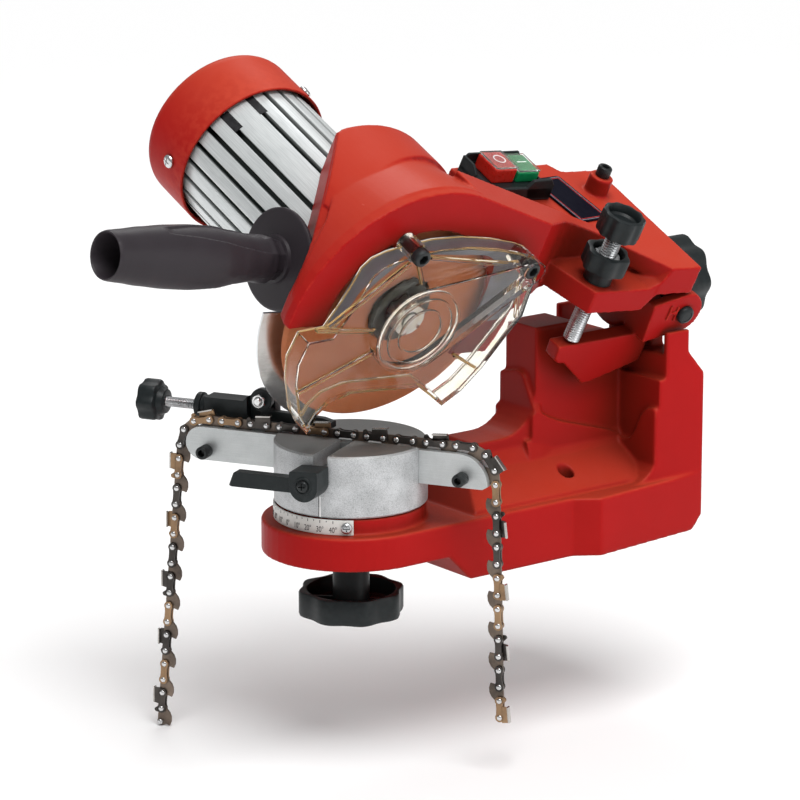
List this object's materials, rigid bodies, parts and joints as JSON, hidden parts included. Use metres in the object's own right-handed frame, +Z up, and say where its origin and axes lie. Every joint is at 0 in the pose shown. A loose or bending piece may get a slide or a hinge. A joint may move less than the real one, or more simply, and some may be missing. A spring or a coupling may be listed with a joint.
{
  "type": "electric chainsaw sharpener",
  "caption": "Bench grinder for saw chains: cast base with swivelling chain vice and a tilting, hinged head with motor, grinding wheel, clear guard, side handle and depth stop.",
  "frame": {"origin": "on the bench face under the foot, midway between the two bench bolt holes", "axes": "+Z up, +Y to the rear of the machine, -Y to the vice and the operator, +X to the right where the wheel's open face points"},
  "size_m": [0.2373, 0.4059, 0.3786],
  "materials": {
    "red_casting": "gloss red powder coat on die-cast aluminium",
    "red_plastic": "gloss",
    "bare_aluminium": "machined and cast, satin",
    "zinc_steel": "zinc plated",
    "bright_steel": "turned",
    "black_steel": "black oxide",
    "black_plastic": "fine grain",
    "abrasive": "ruby abrasive grit",
    "clear_plastic": "clear polycarbonate",
    "white_scale": "printed scale",
    "signal_red": "gloss",
    "signal_green": "gloss",
    "chain_steel": "bronzed and blued"
  },
  "bodies": {
    "base": {"base_casting": "red_casting", "scale_plate": "white_scale", "scale_screw": "black_steel"},
    "vice": {"turntable": "bare_aluminium", "vice_bolt": "bright_steel", "rail_front": "zinc_steel", "rail_rear": "zinc_steel", "rail_screw_left": "black_steel", "rail_screw_right": "black_steel", "lever_screw": "bright_steel", "stop_block": "black_plastic", "stop_collar": "black_plastic", "pawl_bolt": "zinc_steel", "saw_chain": "chain_steel"},
    "vice_clamp": {"vice_knob": "black_plastic"},
    "lever": {"clamp_lever": "black_plastic"},
    "stop_spindle": {"stop_rod": "bright_steel"},
    "stop_grip": {"stop_knob": "black_plastic"},
    "chain_pawl": {"pawl": "black_steel"},
    "head": {"tilt_carrier": "red_casting", "hinge_pin_right": "black_steel", "hinge_pin_left": "black_steel", "tilt_bolt": "bright_steel", "return_spring": "bright_steel"},
    "tilt_clamp": {"tilt_knob": "black_plastic"},
    "arm": {"arm_housing": "red_casting", "label_plate": "black_plastic", "cap_screw": "black_steel", "cable_gland": "black_plastic", "switch_housing": "black_plastic", "motor_housing": "bare_aluminium", "motor_end_cap": "red_plastic", "end_cap_screw_1": "zinc_steel", "end_cap_screw_2": "zinc_steel", "end_cap_screw_3": "zinc_steel", "stator_core": "bright_steel", "front_bearing": "bright_steel", "rear_bearing": "bright_steel", "rear_guard": "zinc_steel", "rear_guard_screw": "zinc_steel", "clear_guard": "clear_plastic", "guard_screw_upper": "black_steel", "guard_screw_rear": "black_steel", "side_handle": "black_plastic", "handle_stud": "bright_steel"},
    "rotor": {"rotor_core": "bright_steel", "rotor_shaft": "bright_steel", "cooling_fan": "black_plastic", "inner_flange": "bright_steel", "grinding_wheel": "abrasive", "outer_flange": "black_steel", "spindle_nut": "zinc_steel"},
    "depth_spindle": {"depth_screw": "zinc_steel"},
    "depth_grip": {"depth_knob": "black_plastic"},
    "depth_lock": {"depth_lock_knob": "black_plastic"},
    "off_key": {"switch_off_button": "signal_red", "switch_off_lens": "clear_plastic"},
    "on_key": {"switch_on_button": "signal_green", "switch_on_lens": "clear_plastic"}
  },
  "joints": [
    {"name": "vice_swivel", "type": "hinge", "parent": "base", "child": "vice", "pos_m": [0, -0.13, 0.0433], "axis": [0, 0, 1], "range_deg": [-65, 5]},
    {"name": "vice_clamp_turn", "type": "hinge", "parent": "vice", "child": "vice_clamp", "pos_m": [0, -0.13, -0.0155], "axis": [0, 0, 1], "range_deg": [-360, 360]},
    {"name": "lever_turn", "type": "hinge", "parent": "vice", "child": "lever", "pos_m": [0.0234, -0.17653, 0.06492], "axis": [-0.5, 0.866, 0], "range_deg": [-25, 25]},
    {"name": "stop_spindle_slide", "type": "slide", "parent": "vice", "child": "stop_spindle", "axis": [0.866, 0.5, 0], "range_m": [-0.004, 0.008]},
    {"name": "stop_grip_turn", "type": "hinge", "parent": "stop_spindle", "child": "stop_grip", "pos_m": [-0.007, -0.11788, 0.0843], "axis": [0.866, 0.5, 0], "range_deg": [-1450, 2890]},
    {"name": "pawl_swing", "type": "hinge", "parent": "vice", "child": "chain_pawl", "pos_m": [-0.05723, -0.14688, 0.0923], "axis": [0.5, -0.866, 0], "range_deg": [0, 25]},
    {"name": "head_tilt", "type": "hinge", "parent": "base", "child": "head", "pos_m": [0.014, 0.065, 0.142], "axis": [0, 1, 0], "range_deg": [-24.7, 2.3]},
    {"name": "tilt_clamp_turn", "type": "hinge", "parent": "head", "child": "tilt_clamp", "pos_m": [0.014, 0.09, 0.142], "axis": [0, 1, 0], "range_deg": [-360, 360]},
    {"name": "arm_swing", "type": "hinge", "parent": "head", "child": "arm", "pos_m": [0.01534, 0.071, 0.14491], "axis": [-0.9085, 0, 0.4179], "range_deg": [0, 20], "deforming": ["return_spring"]},
    {"name": "wheel_spin", "type": "hinge", "parent": "arm", "child": "rotor", "pos_m": [0.0233, -0.12367, 0.16221], "axis": [0.9085, 0, -0.4179], "continuous": true},
    {"name": "depth_spindle_slide", "type": "slide", "parent": "arm", "child": "depth_spindle", "axis": [0.4156, 0.1045, 0.9035], "range_m": [0, 0.012]},
    {"name": "depth_grip_turn", "type": "hinge", "parent": "depth_spindle", "child": "depth_grip", "pos_m": [0.04102, 0.00337, 0.14092], "axis": [0.4156, 0.1045, 0.9035], "range_deg": [0, 2890]},
    {"name": "depth_lock_turn", "type": "hinge", "parent": "arm", "child": "depth_lock", "pos_m": [0.04102, 0.00337, 0.14092], "axis": [0.4156, 0.1045, 0.9035], "range_deg": [0, 360]},
    {"name": "off_press", "type": "slide", "parent": "arm", "child": "off_key", "axis": [-0.4156, -0.1045, -0.9035], "range_m": [0, 0.0025], "stiffness_N_per_m": 400, "springref_m": -0.001},
    {"name": "on_press", "type": "slide", "parent": "arm", "child": "on_key", "axis": [-0.4156, -0.1045, -0.9035], "range_m": [0, 0.0025], "stiffness_N_per_m": 400, "springref_m": -0.001}
  ],
  "couplings": [
    {"joint": "stop_grip_turn", "follows": "stop_spindle_slide", "rad_per_m": 6283.2},
    {"joint": "depth_grip_turn", "follows": "depth_spindle_slide", "rad_per_m": 4188.8}
  ]
}
